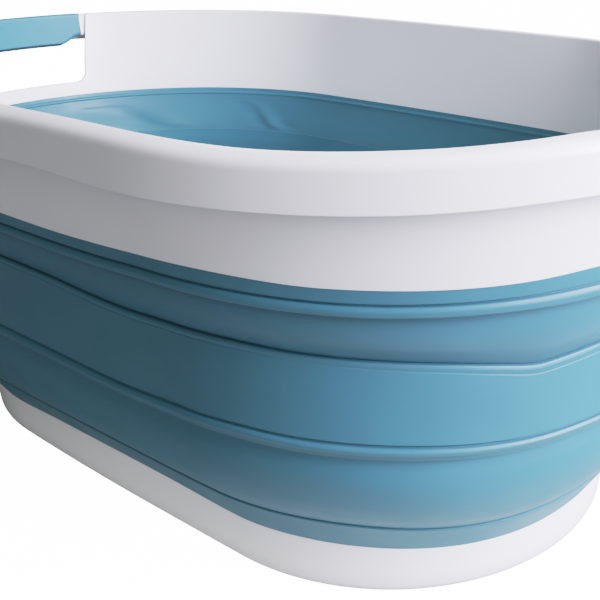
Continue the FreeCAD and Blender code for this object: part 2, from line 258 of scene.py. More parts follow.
# materials, all placed by Object coordinates; each one's base colour is darkened in its crevices by
# ambient occlusion, which is painted shade
def makeMaterial(name, look):
    material = bpy.data.materials.new(name)
    material.use_nodes = True
    tree = material.node_tree
    shader = tree.nodes["Principled BSDF"]
    for socket, value in look["shader"].items():
        shader.inputs[socket].default_value = value
    place = addNode(tree, "ShaderNodeTexCoord").outputs["Object"]
    mottle = addNode(
        tree, "ShaderNodeTexNoise", {"Scale": look["mottleScale"], "Detail": 3.0}, {"Vector": place}
    )
    tone = addNode(
        tree,
        "ShaderNodeMix",
        {"data_type": "RGBA"},
    )
    tone.inputs[6].default_value = (*look["colour"], 1)
    tone.inputs[7].default_value = (*look["colourDeep"], 1)
    tree.links.new(mottle.outputs["Fac"], tone.inputs[0])
    # painted shade: ambient occlusion multiplies the base colour darker in crevices, grooves and under
    # overhangs
    paintedShadeOcclusion = addNode(
        tree, "ShaderNodeAmbientOcclusion", {"samples": 8, "Distance": look["paintedShadeReach"]}
    )
    paintedShadeFactor = addNode(
        tree,
        "ShaderNodeMapRange",
        {"From Min": 0.25, "From Max": 0.9, "To Min": look["paintedShadeTone"], "To Max": 1.0},
        {"Value": paintedShadeOcclusion.outputs["AO"]},
    )
    shaded = addNode(tree, "ShaderNodeMix", {"data_type": "RGBA", "blend_type": "MULTIPLY"})
    shaded.inputs[0].default_value = 1.0
    tree.links.new(tone.outputs[2], shaded.inputs[6])
    tree.links.new(paintedShadeFactor.outputs["Result"], shaded.inputs[7])
    tree.links.new(shaded.outputs[2], shader.inputs["Base Color"])
    smear = addNode(
        tree, "ShaderNodeTexNoise", {"Scale": look["smearScale"], "Detail": 4.0}, {"Vector": place}
    )
    rough = addNode(
        tree,
        "ShaderNodeMapRange",
        {"From Min": 0.3, "From Max": 0.7, "To Min": look["rough"][0], "To Max": look["rough"][1]},
        {"Value": smear.outputs["Fac"]},
    )
    tree.links.new(rough.outputs["Result"], shader.inputs["Roughness"])
    grain = addNode(
        tree, "ShaderNodeTexNoise", {"Scale": look["grainScale"], "Detail": 2.0}, {"Vector": place}
    )
    wave = addNode(
        tree, "ShaderNodeTexNoise", {"Scale": look["waveScale"], "Detail": 1.0}, {"Vector": place}
    )
    fine = addNode(
        tree,
        "ShaderNodeBump",
        {"Strength": 1.0, "Distance": look["grainDepth"] * mm},
        {"Height": grain.outputs["Fac"]},
    )
    broad = addNode(
        tree,
        "ShaderNodeBump",
        {"Strength": 1.0, "Distance": look["waveDepth"] * mm},
        {"Height": wave.outputs["Fac"], "Normal": fine.outputs["Normal"]},
    )
    tree.links.new(broad.outputs["Normal"], shader.inputs["Normal"])
    return material


whiteLook = {
    "colour": (0.83, 0.83, 0.835),
    "colourDeep": (0.80, 0.80, 0.805),
    "shader": {"IOR": 1.49, "Coat Weight": 0.12, "Coat Roughness": 0.18},
    "mottleScale": 9.0,
    # painted shade: crevice darkening in the white's base colour, strong enough to paint the shadow
    # under the skirt's lower edge
    "paintedShadeReach": 0.019,
    "paintedShadeTone": 0.45,
    "smearScale": 26.0,
    "rough": (0.34, 0.46),
    "grainScale": 900.0,
    "grainDepth": 0.012,
    "waveScale": 22.0,
    "waveDepth": 0.18,
}
blueLook = {
    "colour": (0.047, 0.178, 0.242),
    "colourDeep": (0.039, 0.157, 0.214),
    "shader": {"IOR": 1.47, "Specular IOR Level": 0.62},
    "mottleScale": 12.0,
    # painted shade: crevice darkening in the blue's base colour along the grooves and under the beads
    # and lips
    "paintedShadeReach": 0.015,
    "paintedShadeTone": 0.62,
    "smearScale": 34.0,
    "rough": (0.42, 0.54),
    "grainScale": 1500.0,
    "grainDepth": 0.03,
    "waveScale": 30.0,
    "waveDepth": 0.25,
}
# painted shade: the upper fold gets a darker copy of the one blue and a wide, strong crevice
# darkening, for the shade it sits in beneath the bead
foldShadedLook = dict(
    blueLook,
    colour=(0.046, 0.168, 0.232),
    colourDeep=(0.038, 0.149, 0.206),
    paintedShadeReach=0.09,
    paintedShadeTone=0.05,
)
gripLook = dict(
    blueLook,
    colour=(0.062, 0.222, 0.298),
    colourDeep=(0.053, 0.20, 0.272),
    waveScale=45.0,
    waveDepth=0.35,
)
plugLook = dict(blueLook, rough=(0.5, 0.65))
padLook = dict(
    blueLook,
    colour=(0.30, 0.32, 0.35),
    colourDeep=(0.24, 0.26, 0.29),
    grainScale=2200.0,
    rough=(0.6, 0.75),
)
whiteShell = makeMaterial("whiteShell", whiteLook)
blueSkin = makeMaterial("blueSkin", blueLook)
foldShadedSkin = makeMaterial("foldShadedSkin", foldShadedLook)
gripSkin = makeMaterial("gripSkin", gripLook)
plugRubber = makeMaterial("plugRubber", plugLook)
padRubber = makeMaterial("padRubber", padLook)
print("materials ready")


# sections swept round the oval
def roundedSection(corners, spacing=4.0, support=0.45):
    # corners are (inset, height, radius); each is rounded and long edges get points in between
    count = len(corners)
    outline = []
    for index, (inset, height, radius) in enumerate(corners):
        here = Vector((inset, height))
        before = Vector(corners[index - 1][:2]) - here
        after = Vector(corners[(index + 1) % count][:2]) - here
        if radius <= 0:
            outline.append((here, here))
            continue
        opening = before.angle(after)
        reach = min(radius / math.tan(opening / 2), 0.48 * before.length, 0.48 * after.length)
        radius = reach * math.tan(opening / 2)
        start, finish = here + before.normalized() * reach, here + after.normalized() * reach
        bisector = (before.normalized() + after.normalized()).normalized()
        centre = here + bisector * (radius / math.sin(opening / 2))
        steps = max(2, int((math.pi - opening) / math.radians(14)))
        arc = [start]
        for step in range(1, steps):
            share = step / steps
            blendPoint = start.lerp(finish, share) - centre
            arc.append(centre + blendPoint.normalized() * radius)
        arc.append(finish)
        outline.append(tuple(arc))
    points = []
    for index, arc in enumerate(outline):
        points.extend(arc if arc[0] != arc[-1] else arc[:1])
        start, finish = arc[-1], outline[(index + 1) % count][0]
        gap = (finish - start).length
        if gap > 3 * support:
            points.append(start.lerp(finish, support / gap))
            for step in range(1, max(1, int(gap / spacing))):
                points.append(start.lerp(finish, step / max(1, int(gap / spacing))))
            points.append(finish.lerp(start, support / gap))
    clean = [points[0]]
    for point in points[1:]:
        if (point - clean[-1]).length > 0.02:
            clean.append(point)
    return clean


def ringTree():
    # sweeps a section round the oval
    tree, source, sink = newTree("Ring Round Oval")
    addInput(tree, "Section", "NodeSocketObject")
    addInput(tree, "Finish", "NodeSocketMaterial")
    path = addNode(tree, "GeometryNodeMeshToCurve", links={"Mesh": source.outputs["Geometry"]})
    level = addNode(tree, "GeometryNodeSetCurveNormal", links={"Curve": path.outputs["Curve"]})
    level.mode = "Z_UP"
    section = addNode(tree, "GeometryNodeObjectInfo", links={"Object": source.outputs["Section"]})
    profile = addNode(tree, "GeometryNodeMeshToCurve", links={"Mesh": section.outputs["Geometry"]})
    skin = addNode(
        tree,
        "GeometryNodeCurveToMesh",
        links={"Curve": level.outputs["Curve"], "Profile Curve": profile.outputs["Curve"]},
    )
    real = addNode(tree, "GeometryNodeRealizeInstances", links={"Geometry": skin.outputs["Mesh"]})
    finish = addNode(
        tree,
        "GeometryNodeSetMaterial",
        links={"Geometry": real.outputs["Geometry"], "Material": source.outputs["Finish"]},
    )
    tree.links.new(finish.outputs["Geometry"], sink.inputs["Geometry"])
    return tree


ringRound = ringTree()


def loopObject(name, points):
    mesh = bpy.data.meshes.new(name)
    count = len(points)
    mesh.from_pydata([tuple(p) for p in points], [(i, (i + 1) % count) for i in range(count)], [])
    return newObject(name, mesh)


def makeRing(name, corners, material, shape=None):
    # shape takes (along, inset, height) and returns how far the point moves in
    columns = oval["columns"]
    track = [ovalPoint(4 * quarter * step / columns)[0] * mm for step in range(columns)]
    section = [(-p.x * mm, -p.y * mm, 0) for p in roundedSection(corners)]
    profile = loopObject(name + "Section", section)
    ring = loopObject(name + "Track", track)
    modifier = ring.modifiers.new("ring", "NODES")
    modifier.node_group = ringRound
    setInputs(modifier, ringRound, {"Section": profile, "Finish": material})
    obj = freeze(ring, name)
    bpy.data.objects.remove(profile, do_unlink=True)
    if shape:
        for vertex in obj.data.vertices:
            along, inset = ovalPlace(vertex.co.x / mm, vertex.co.y / mm)
            vertex.co -= ovalPoint(along)[1] * (shape(along, inset, vertex.co.z / mm) * mm)
    finishMesh(obj)
    print("made", name, len(obj.data.polygons), "faces")
    return obj


def warp(obj):
    for vertex in obj.data.vertices:
        along, inset = ovalPlace(vertex.co.x / mm, vertex.co.y / mm)
        vertex.co.z += liftAt(along, vertex.co.z / mm) * mm
    obj.data.update()


def settle(obj, body, slotName, *nodes):
    warp(obj)
    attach(obj, body)
    if nodes:
        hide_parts(*nodes)
    return obj


# rim moulding with its two hand windows
rimShape = {
    "windowAngle": 17.1,
    "windowFlare": 2.6,
    "windowFoot": 207.0,
    "windowCorner": 7.5,
    "windowFace": 12.4,
    "windowDepth": 34.0,
    "seatAngle": 18.0,
    "seatFoot": 239.0,
    "seatBack": 5.2,
    "top": 272.0,
    "seatCorner": 0.5,
    "seatSpare": 0.4,
    "sharpAngle": 35,
}
rimCorners = [
    (24.1, 196.0, 0.3),
    (13.9, 264.8, 1.6),
    (8.6, 265.0, 9.0),
    (1.9, 262.4, 9.0),
    (0.0, 241.7, 0.5),
    (2.4, 241.7, 0.6),
    (4.9, 259.5, 5.0),
    (11.4, 261.8, 2.0),
    (20.4, 202.6, 0.5),
    (21.9, 202.6, 0),
    (22.4, 196.0, 0.2),
]


def cutterAt(side, name, halfAngle, foot, corner, outer, inner, top, flare=0.0):
    # a block bent about the end arc's centre, with rounded lower corners and sides that may flare
    radius = oval["endRadius"] - outer
    halfWidth = math.radians(halfAngle) * radius
    flat = halfWidth - corner
    bends = [math.pi / 2 * (1 - step / 8) for step in range(9)]
    stops = [-halfWidth + corner * (1 - math.sin(bend)) for bend in bends]
    middleSteps = max(2, int(2 * flat / 3.0))
    stops += [-flat + 2 * flat * step / middleSteps for step in range(1, middleSteps)]
    stops += [-stop for stop in reversed(stops[:9])]
    points = []
    for across in stops:
        past = max(0.0, abs(across) - flat)
        low = foot + corner - math.sqrt(max(corner * corner - past * past, 0.0))
        for height in (low, top):
            lean = 1 + math.radians(flare) * radius / halfWidth * (height - foot) / (265.0 - foot)
            angle = across / radius * lean
            points += [endPoint(side, angle, inset, height) for inset in (outer, inner)]
    faces = [(0, 1, 3, 2)]
    for column in range(len(stops) - 1):
        a, b = 4 * column, 4 * column + 4
        faces += [(a, b, b + 1, a + 1), (a + 2, a + 3, b + 3, b + 2)]
        faces += [(a, a + 2, b + 2, b), (a + 1, b + 1, b + 3, a + 3)]
    last = 4 * (len(stops) - 1)
    faces.append((last, last + 2, last + 3, last + 1))
    cutter = meshFrom(name, points, faces)
    finishMesh(cutter)
    return cutter


def makeRim():
    rim = makeRing("rimShell", rimCorners, whiteShell)
    cuts = []
    for side in (-1, 1):
        cuts.append(
            cutterAt(
                side,
                "windowCut",
                rimShape["windowAngle"],
                rimShape["windowFoot"],
                rimShape["windowCorner"],
                rimShape["windowFace"],
                rimShape["windowDepth"],
                rimShape["top"],
                rimShape["windowFlare"],
            )
        )
        cuts.append(
            cutterAt(
                side,
                "seatCut",
                rimShape["seatAngle"],
                rimShape["seatFoot"],
                rimShape["seatCorner"],
                rimShape["seatBack"],
                rimShape["windowFace"] + rimShape["seatSpare"],
                rimShape["top"],
            )
        )
    for cut in cuts:
        modifier = rim.modifiers.new("cut", "BOOLEAN")
        modifier.operation = "DIFFERENCE"
        modifier.object = cut
        modifier.solver = "EXACT"
    rim = freeze(rim, "rimShell")
    for cut in cuts:
        bpy.data.objects.remove(cut, do_unlink=True)
    finishMesh(rim, rimShape["sharpAngle"])
    return settle(rim, "rim", "white_shell", "rim")


makeRim()
print("rim done")

# handle grips
gripShape = {
    "halfAngle": 17.95,
    "foot": 237.4,
    "rise": 8.0,
    "riseFrom": 43.0,
    "riseTo": 62.0,
    "back": 5.25,
    "face": 12.6,
    "crown": 0.8,
    "columns": 96,
}


def gripSection(across):
    away = abs(across)
    raised = smooth(away, gripShape["riseFrom"], gripShape["riseTo"])
    foot = gripShape["foot"] + gripShape["rise"] * raised
    face = gripShape["face"] + gripShape["crown"] * (1 - smooth(away, 20.0, gripShape["riseTo"]))
    corners = [
        (gripShape["back"], foot + 0.5, 2.2),
        (gripShape["back"], 264.6, 0.3),
        (7.6, 265.1, 1.5),
        (face - 0.5, 265.2, 3.2),
        (face + 0.5, foot, 5.0),
    ]
    return roundedSection(corners, spacing=3.0)


def makeGrip(side, name, node):
    rows = []
    for column in range(gripShape["columns"] + 1):
        angle = math.radians(gripShape["halfAngle"]) * (2 * column / gripShape["columns"] - 1)
        across = angle * (oval["endRadius"] - gripShape["face"])
        rows.append([endPoint(side, angle, p.x, p.y) for p in gripSection(across)])
    count = min(len(row) for row in rows)
    # every row gets as many points as the shortest one
    rows = [row[:count] if len(row) == count else row[: count - 1] + [row[-1]] for row in rows]
    points = [p for row in rows for p in row]
    faces = []
    for column in range(gripShape["columns"]):
        for index in range(count):
            after = (index + 1) % count
            low, high = column * count, (column + 1) * count
            faces.append((low + index, low + after, high + after, high + index))
    faces.append(tuple(range(count)))
    faces.append(tuple(len(points) - count + index for index in range(count)))
    grip = meshFrom(name, points, faces)
    grip.data.materials.append(gripSkin)
    finishMesh(grip, 50)
    return settle(grip, "rim", "grip_skin", node)


barEnd = {
    "from": 17.98,
    "to": 20.6,
    "back": 4.0,
    "face": 13.1,
    "foot": 246.2,
    "head": 263.4,
    "columns": 4,
}


def makeBarEnds(side, name):
    # the white stub that shows between each end of a grip and its window's edge
    points, faces = [], []
    for sign in (-1, 1):
        corners = [
            (barEnd["back"], barEnd["foot"], 1.2),
            (barEnd["back"], barEnd["head"], 0.8),
            (barEnd["face"] - 1.0, barEnd["head"] + 1.0, 1.6),
            (barEnd["face"] + 1.0, barEnd["foot"], 2.4),
        ]
        section = roundedSection(corners)
        start = len(points)
        columns = barEnd["columns"]
        for column in range(columns + 1):
            turn = barEnd["from"] + (barEnd["to"] - barEnd["from"]) * column / columns
            angle = sign * math.radians(turn)
            points += [endPoint(side, angle, p.x, p.y) for p in section]
        count = len(section)
        for column in range(columns):
            for index in range(count):
                after = (index + 1) % count
                low, high = start + column * count, start + (column + 1) * count
                faces.append((low + index, low + after, high + after, high + index))
        faces.append(tuple(start + index for index in range(count)))
        faces.append(tuple(start + columns * count + index for index in range(count)))
    stub = meshFrom(name, points, faces)
    stub.data.materials.append(whiteShell)
    finishMesh(stub, 40)
    settle(stub, "rim", "white_shell")


makeBarEnds(1, "barEndsRight")
makeBarEnds(-1, "barEndsLeft")
makeGrip(1, "gripRight", "handle_grip_right")
makeGrip(-1, "gripLeft", "handle_grip_left")
print("grips done")

# elastomer wall, band by band from the top
def ripple(along, height, size, seed):
    spot = Vector((along / size, height / (size * 0.55), seed))
    return noise.noise(spot)


upperBandCorners = [
    (20.75, 202.7, 0.4),
    (21.6, 195.3, 0.3),
    (23.0, 194.7, 0.3),
    (23.0, 194.0, 0.3),
    (21.7, 193.4, 1.0),
    (20.6, 191.2, 2.2),
    (21.3, 188.6, 1.6),
    (24.2, 187.2, 0.6),
    (27.6, 187.0, 0.5),
    (26.5, 190.6, 0.8),
    (27.1, 191.6, 0.4),
    (26.6, 192.4, 0.4),
    (24.9, 193.4, 0.6),
    (24.15, 196.05, 0.2),
    (22.4, 196.05, 0),
    (21.9, 202.7, 0.1),
]
upperBand = makeRing("upperBand", upperBandCorners, blueSkin)
settle(upperBand, "rim", "blue_wall", "upper_band")


def flowing(points, steps=6):
    # a smooth curve through the points
    knots = [Vector(p) for p in points]
    curve = []
    for index in range(len(knots) - 1):
        before, start = knots[max(index - 1, 0)], knots[index]
        finish, after = knots[index + 1], knots[min(index + 2, len(knots) - 1)]
        for step in range(steps):
            t = step / steps
            bend = 2 * before - 5 * start + 4 * finish - after
            twist = 3 * start - before - 3 * finish + after
            curve.append(
                0.5 * (2 * start + (finish - before) * t + bend * t * t + twist * t**3)
            )
    curve.append(knots[-1])
    return curve


def webSection(outer, inner):
    # a thin web between its outer face and its inner face, both from the top down
    return [(p.x, p.y, 0) for p in flowing(outer) + flowing(inner)[::-1]]


upperFold = {
    "outer": [
        (25.4, 188.6), (26.9, 186.2), (27.2, 183.2), (27.9, 179.0), (29.3, 174.4),
        (31.6, 169.8), (34.6, 165.8), (37.2, 162.8), (38.9, 160.6), (39.4, 159.4),
    ],
    "inner": [
        (27.6, 188.6), (28.6, 185.5), (30.4, 181.0), (33.0, 176.0), (36.0, 171.0),
        (38.6, 166.0), (40.3, 161.6), (40.8, 159.4),
    ],
    "foot": 160.4,
    "head": 187.6,
    "rippleSize": 46.0,
    "rippleDepth": 0.6,
    # soft creases and swellings: along, height, lean, width, reach up, depth
    "creases": [
        (-703, 166, 1.3, 9.0, 17.0, 2.2),
        (-685, 170, 1.3, 12.0, 13.0, -1.4),
        (-724, 163, 1.3, 13.0, 13.0, -1.2),
        (-545, 171, 1.6, 20.0, 10.0, -2.6),
        (-512, 168, 1.6, 16.0, 10.0, 1.5),
        (-582, 168, 1.6, 18.0, 10.0, 1.4),
        (-500, 178, 0.5, 14.0, 8.0, -1.4),
        (386, 171, -0.6, 10.0, 12.0, 1.8),
        (404, 170, -0.4, 11.0, 12.0, -1.4),
    ],
}


def upperFoldShape(along, inset, height):
    share = smooth(height, upperFold["head"], upperFold["foot"])
    middle = 4 * share * (1 - share)
    wave = ripple(along, height, upperFold["rippleSize"], 3.1) * upperFold["rippleDepth"] * middle
    for place, level, lean, width, reach, depth in upperFold["creases"]:
        across = (along - place - lean * (height - level)) / width
        far = across * across + ((height - level) / reach) ** 2
        if far < 9:
            wave += depth * math.exp(-far) * min(1.0, 3 * middle)
    return wave


# the upper fold wears the darker, shade-painted copy of the blue
fold = makeRing(
    "upperFold", webSection(upperFold["outer"], upperFold["inner"]), foldShadedSkin, upperFoldShape
)
warp(fold)
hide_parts("upper_fold")
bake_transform(fold)

middleCorners = [
    (39.4, 161.2, 0.5),
    (37.3, 160.5, 0.9),
    (36.7, 159.2, 0.7),
    (36.95, 157.9, 0.3),
    (37.12, 157.4, 0.25),
    (36.85, 156.8, 0.4),
    (36.6, 154.0, 1.5),
    (33.5, 118.0, 0.5),
    (34.6, 117.2, 0.3),
    (34.6, 116.4, 0.3),
    (33.3, 115.9, 0.8),
    (32.0, 114.0, 1.7),
    (32.9, 111.8, 1.2),
    (35.2, 110.6, 0.8),
    (36.2, 107.6, 0.5),
    (38.6, 107.5, 0.6),
    (37.8, 116.0, 2.0),
    (40.4, 136.0, 30.0),
    (41.6, 151.0, 30.0),
    (40.9, 161.2, 0.4),
]
middleDents = [
    # along, height, reach along, reach up, depth
    (101.0, 121.5, 7.0, 4.5, 0.9),
    (112.0, 118.5, 5.0, 3.0, 0.7),
    (122.0, 122.0, 9.0, 5.0, 0.6),
    (86.0, 126.0, 10.0, 8.0, 0.5),
    (300.0, 132.0, 26.0, 12.0, 0.5),
    (262.0, 128.0, 18.0, 10.0, 0.35),
]


def middleShape(along, inset, height):
    inward = ripple(along, height, 70.0, 8.7) * 0.45 * smooth(height, 117.5, 124.0) * (
        1 - smooth(height, 146.0, 154.0)
    )
    if 116.0 < height < 150.0:
        for place, level, reachAlong, reachUp, depth in middleDents:
            far = ((along - place) / reachAlong) ** 2 + ((height - level) / reachUp) ** 2
            if far < 6:
                inward += depth * math.exp(-far)
    return inward


middle = makeRing("middleBand", middleCorners, blueSkin, middleShape)
settle(middle, "middle", "blue_wall", "middle_band")

lowerFold = {
    "outer": [
        (36.4, 109.4), (38.0, 106.4), (37.4, 102.6), (36.4, 98.0), (36.1, 92.0), (37.2, 84.0),
        (40.2, 75.0), (44.8, 66.6), (49.6, 60.2), (53.2, 56.2), (54.6, 54.2),
    ],
    "inner": [
        (38.4, 109.4), (40.2, 106.4), (40.0, 102.0), (39.4, 97.0), (39.0, 91.0), (40.2, 82.6),
        (43.4, 73.4), (47.8, 65.4), (52.2, 59.6), (55.4, 56.2), (56.4, 54.2),
    ],
    "foot": 55.0,
    "head": 107.4,
    "rippleSize": 80.0,
    "rippleDepth": 0.9,
}


def lowerFoldShape(along, inset, height):
    share = smooth(height, lowerFold["foot"], lowerFold["head"])
    wave = ripple(along, height, lowerFold["rippleSize"], 5.4) * lowerFold["rippleDepth"]
    return wave * (4 * share * (1 - share))


fold = makeRing(
    "lowerFold", webSection(lowerFold["outer"], lowerFold["inner"]), blueSkin, lowerFoldShape
)
warp(fold)
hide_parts("lower_fold")
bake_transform(fold)

lowerBandCorners = [
    (54.2, 55.7, 0.3),
    (53.4, 55.5, 0.3),
    (53.1, 54.6, 0.35),
    (53.6, 53.8, 0.3),
    (66.8, 33.3, 0.4),
    (68.6, 33.3, 0),
    (61.4, 45.0, 0),
    (63.8, 45.0, 0.3),
    (56.2, 55.3, 0.5),
]
lowerBand = makeRing("lowerBand", lowerBandCorners, blueSkin)
settle(lowerBand, "base", "blue_wall", "lower_band")
print("wall done")

# base tray
trayCorners = [
    (61.4, 45.0, 0),
    (68.6, 33.3, 0),
    (66.95, 33.3, 0.4),
    (69.9, 2.0, 5.8),
    (80.0, 2.0, 0.5),
    (80.0, 7.0, 0),
    (72.6, 7.0, 4.5),
    (70.2, 33.3, 1.5),
    (63.8, 45.0, 0.3),
]
trayShape = {
    "floorEdge": 79.0,
    "floorTop": 7.0,
    "floorFoot": 4.0,
    "columns": 240,
    "drainPlace": -168.0,
    "drainRadius": 17.0,
    "recessRadius": 30.0,
    "recessDepth": 1.4,
}


def makeTrayWall():
    wall = makeRing("trayWall", trayCorners, whiteShell)
    settle(wall, "base", "white_shell", "base_tray")


def diskAt(name, x, radius, low, high, segments=64):
    points, faces = [], []
    for height in (low, high):
        for step in range(segments):
            angle = 2 * math.pi * step / segments
            place = Vector((x + radius * math.cos(angle), radius * math.sin(angle), height))
            points.append(place * mm)
    for step in range(segments):
        after = (step + 1) % segments
        faces.append((step, after, segments + after, segments + step))
    faces += [tuple(reversed(range(segments))), tuple(range(segments, 2 * segments))]
    return meshFrom(name, points, faces)


def makeTrayFloor():
    work = bmesh.new()
    columns = trayShape["columns"]
    loops = {}
    for top in (True, False):
        height = trayShape["floorTop"] if top else trayShape["floorFoot"]
        rim = []
        for step in range(columns):
            point, outward = ovalPoint(4 * quarter * step / columns)
            place = point - outward * trayShape["floorEdge"] + Vector((0, 0, height))
            rim.append(work.verts.new(place * mm))
        loops[top] = rim
        work.faces.new(rim)
    top, bottom = loops[True], loops[False]
    for step in range(columns):
        after = (step + 1) % columns
        work.faces.new((top[step], bottom[step], bottom[after], top[after]))
    bmesh.ops.recalc_face_normals(work, faces=work.faces)
    mesh = bpy.data.meshes.new("trayFloor")
    work.to_mesh(mesh)
    work.free()
    floor = newObject("trayFloor", mesh)
    floor.data.materials.append(whiteShell)
    drain, above = trayShape["drainPlace"], 20
    recessFoot = trayShape["floorTop"] - trayShape["recessDepth"]
    cuts = [
        diskAt("drainCut", drain, trayShape["drainRadius"], 0, above),
        diskAt("recessCut", drain, trayShape["recessRadius"], recessFoot, above),
    ]
    for cut in cuts:
        modifier = floor.modifiers.new("cut", "BOOLEAN")
        modifier.operation = "DIFFERENCE"
        modifier.object = cut
        modifier.solver = "EXACT"
    floor = freeze(floor, "trayFloor")
    for cut in cuts:
        bpy.data.objects.remove(cut, do_unlink=True)
    finishMesh(floor, 30)
    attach(floor, "base")


def dotTree():
    # a low rounded stud on every point it is given
    tree, source, sink = newTree("Studs On Points")
    addInput(tree, "Foot Radius", "NodeSocketFloat")
    addInput(tree, "Head Radius", "NodeSocketFloat")
    addInput(tree, "Height", "NodeSocketFloat")
    addInput(tree, "Finish", "NodeSocketMaterial")
    stud = addNode(
        tree,
        "GeometryNodeMeshCone",
        {"Vertices": 16},
        {
            "Radius Bottom": source.outputs["Foot Radius"],
            "Radius Top": source.outputs["Head Radius"],
            "Depth": source.outputs["Height"],
        },
    )
    many = addNode(
        tree,
        "GeometryNodeInstanceOnPoints",
        links={"Points": source.outputs["Geometry"], "Instance": stud.outputs["Mesh"]},
    )
    real = addNode(tree, "GeometryNodeRealizeInstances", links={"Geometry": many.outputs["Instances"]})
    finish = addNode(
        tree,
        "GeometryNodeSetMaterial",
        links={"Geometry": real.outputs["Geometry"], "Material": source.outputs["Finish"]},
    )
    tree.links.new(finish.outputs["Geometry"], sink.inputs["Geometry"])
    return tree


studRows = {
    "rows": 12,
    "columns": 18,
    "pitch": 17.0,
    "rowPitch": 14.7,
    "gateGap": 4.0,  # the mould's gate sits in the middle of the floor
    "edge": 96.0,
    "drainGap": 38.0,
    "footRadius": 3.4,
    "headRadius": 2.4,
    "height": 1.1,
}


def makeStuds():
    # anti-slip studs in staggered rows, clear of the floor's edge and the drain
    spots = []
    rows, columns = studRows["rows"], studRows["columns"]
    for row in range(-rows, rows + 1):
        for column in range(-columns, columns + 1):
            x = (column + 0.5 * (row % 2)) * studRows["pitch"]
            y = row * studRows["rowPitch"]
            if math.hypot(x, y) < studRows["gateGap"]:
                continue
            inset = ovalPlace(x, y)[1]
            fromDrain = math.hypot(x - trayShape["drainPlace"], y)
            if inset > studRows["edge"] and fromDrain > studRows["drainGap"]:
                spots.append((x * mm, y * mm, (trayShape["floorTop"] - 0.05) * mm))
    mesh = bpy.data.meshes.new("studPoints")
    mesh.from_pydata(spots, [], [])
    points = newObject("studPoints", mesh)
    studs = dotTree()
    modifier = points.modifiers.new("studs", "NODES")
    modifier.node_group = studs
    values = {
        "Foot Radius": studRows["footRadius"] * mm,
        "Head Radius": studRows["headRadius"] * mm,
        "Height": studRows["height"] * mm,
        "Finish": whiteShell,
    }
    setInputs(modifier, studs, values)
    obj = freeze(points, "floorStuds")
    finishMesh(obj, 50)
    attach(obj, "base")
    print("made", len(spots), "studs")


underRibs = {
    "insets": [84.5, 112.0, 140.0],
    "foot": 1.6,
    "head": 4.1,
    "footHalf": 1.0,
    "headHalf": 1.2,
}


def makeUnderRibs():
    # rings under the floor that stiffen it
    for number, inset in enumerate(underRibs["insets"]):
        corners = [
            (inset - underRibs["headHalf"], underRibs["head"], 0),
            (inset - underRibs["footHalf"], underRibs["foot"], 0.4),
            (inset + underRibs["footHalf"], underRibs["foot"], 0.4),
            (inset + underRibs["headHalf"], underRibs["head"], 0),
        ]
        rib = makeRing("underRib%d" % (number + 1), corners, whiteShell)
        settle(rib, "base", "white_shell")


makeTrayWall()
makeTrayFloor()
makeStuds()
makeUnderRibs()
print("tray done")


# drain plug and foot pads
def makeTurned(name, outline, material, centre, segments=64):
    # a closed outline of (radius, height, rounding) turned about its own upright axis
    corners = roundedSection(outline, spacing=6.0)
    points, faces = [], []
    for step in range(segments):
        angle = 2 * math.pi * step / segments
        for p in corners:
            x, y = centre[0] + p.x * math.cos(angle), centre[1] + p.x * math.sin(angle)
            points.append(Vector((x, y, p.y)) * mm)
    count = len(corners)
    for step in range(segments):
        after = (step + 1) % segments
        for index in range(count):
            following = (index + 1) % count
            low, high = step * count, after * count
            faces.append((low + index, high + index, high + following, low + following))
    obj = meshFrom(name, points, faces)
    obj.data.materials.append(material)
    finishMesh(obj, 40)
    return obj


plugOutline = [
    (0.0, 2.9, 0),
    (15.4, 2.9, 0.8),
    (16.5, 4.0, 0.6),
    (16.0, 5.9, 0.2),
    (24.9, 5.9, 0.5),
    (24.2, 8.4, 0.9),
    (11.0, 9.2, 2.0),
    (5.4, 11.0, 2.0),
    (5.2, 14.6, 0.8),
    (8.4, 15.6, 1.2),
    (8.4, 20.9, 1.8),
    (0.0, 20.9, 0),
]
plug = makeTurned("drainStopper", plugOutline, plugRubber, (trayShape["drainPlace"], 0))
settle(plug, "plug", "plug_rubber", "drain_plug")

padOutline = [
    (0.0, 0.3, 0),
    (4.0, 0.3, 0.2),
    (4.6, 0.0, 0.2),
    (8.0, 0.0, 0.2),
    (8.6, 0.6, 0.2),
    (9.6, 0.6, 0.2),
    (10.2, 0.0, 0.2),
    (14.0, 0.0, 0.7),
    (14.8, 3.9, 0.2),
    (0.0, 3.9, 0),
]
for depth in ("front", "rear"):
    for side in ("left", "right"):
        node = "foot_%s_%s" % (depth, side)
        low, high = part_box(node)
        centre = ((low + high) / 2 / mm)[:2]
        pad = makeTurned(node + "Pad", padOutline, padRubber, centre, 48)
        settle(pad, "base", "foot_pad", node)
print("plug and pads done")

# floor, surroundings, lamps and camera
stageLook = {
    "size": 8.0,
    "floor": (0.26, 0.26, 0.26),
    "seenGlow": 5.4,
    "nearGlow": 0.80,
    "nearCentre": (0.15, -0.02, 0.0),
    "nearStretch": (1.0, 1.45, 1.0),
    "nearEdge": (0.20, 0.46),
    # how strong the glow is from the left to the right, in diffuse light and in reflections
    "sideFrom": (-0.25, 0.3),
    "sideShare": (0.72, 1.5),
    "glossFrom": (0.05, 0.3),
    "glossShare": (0.0, 1.5),
}


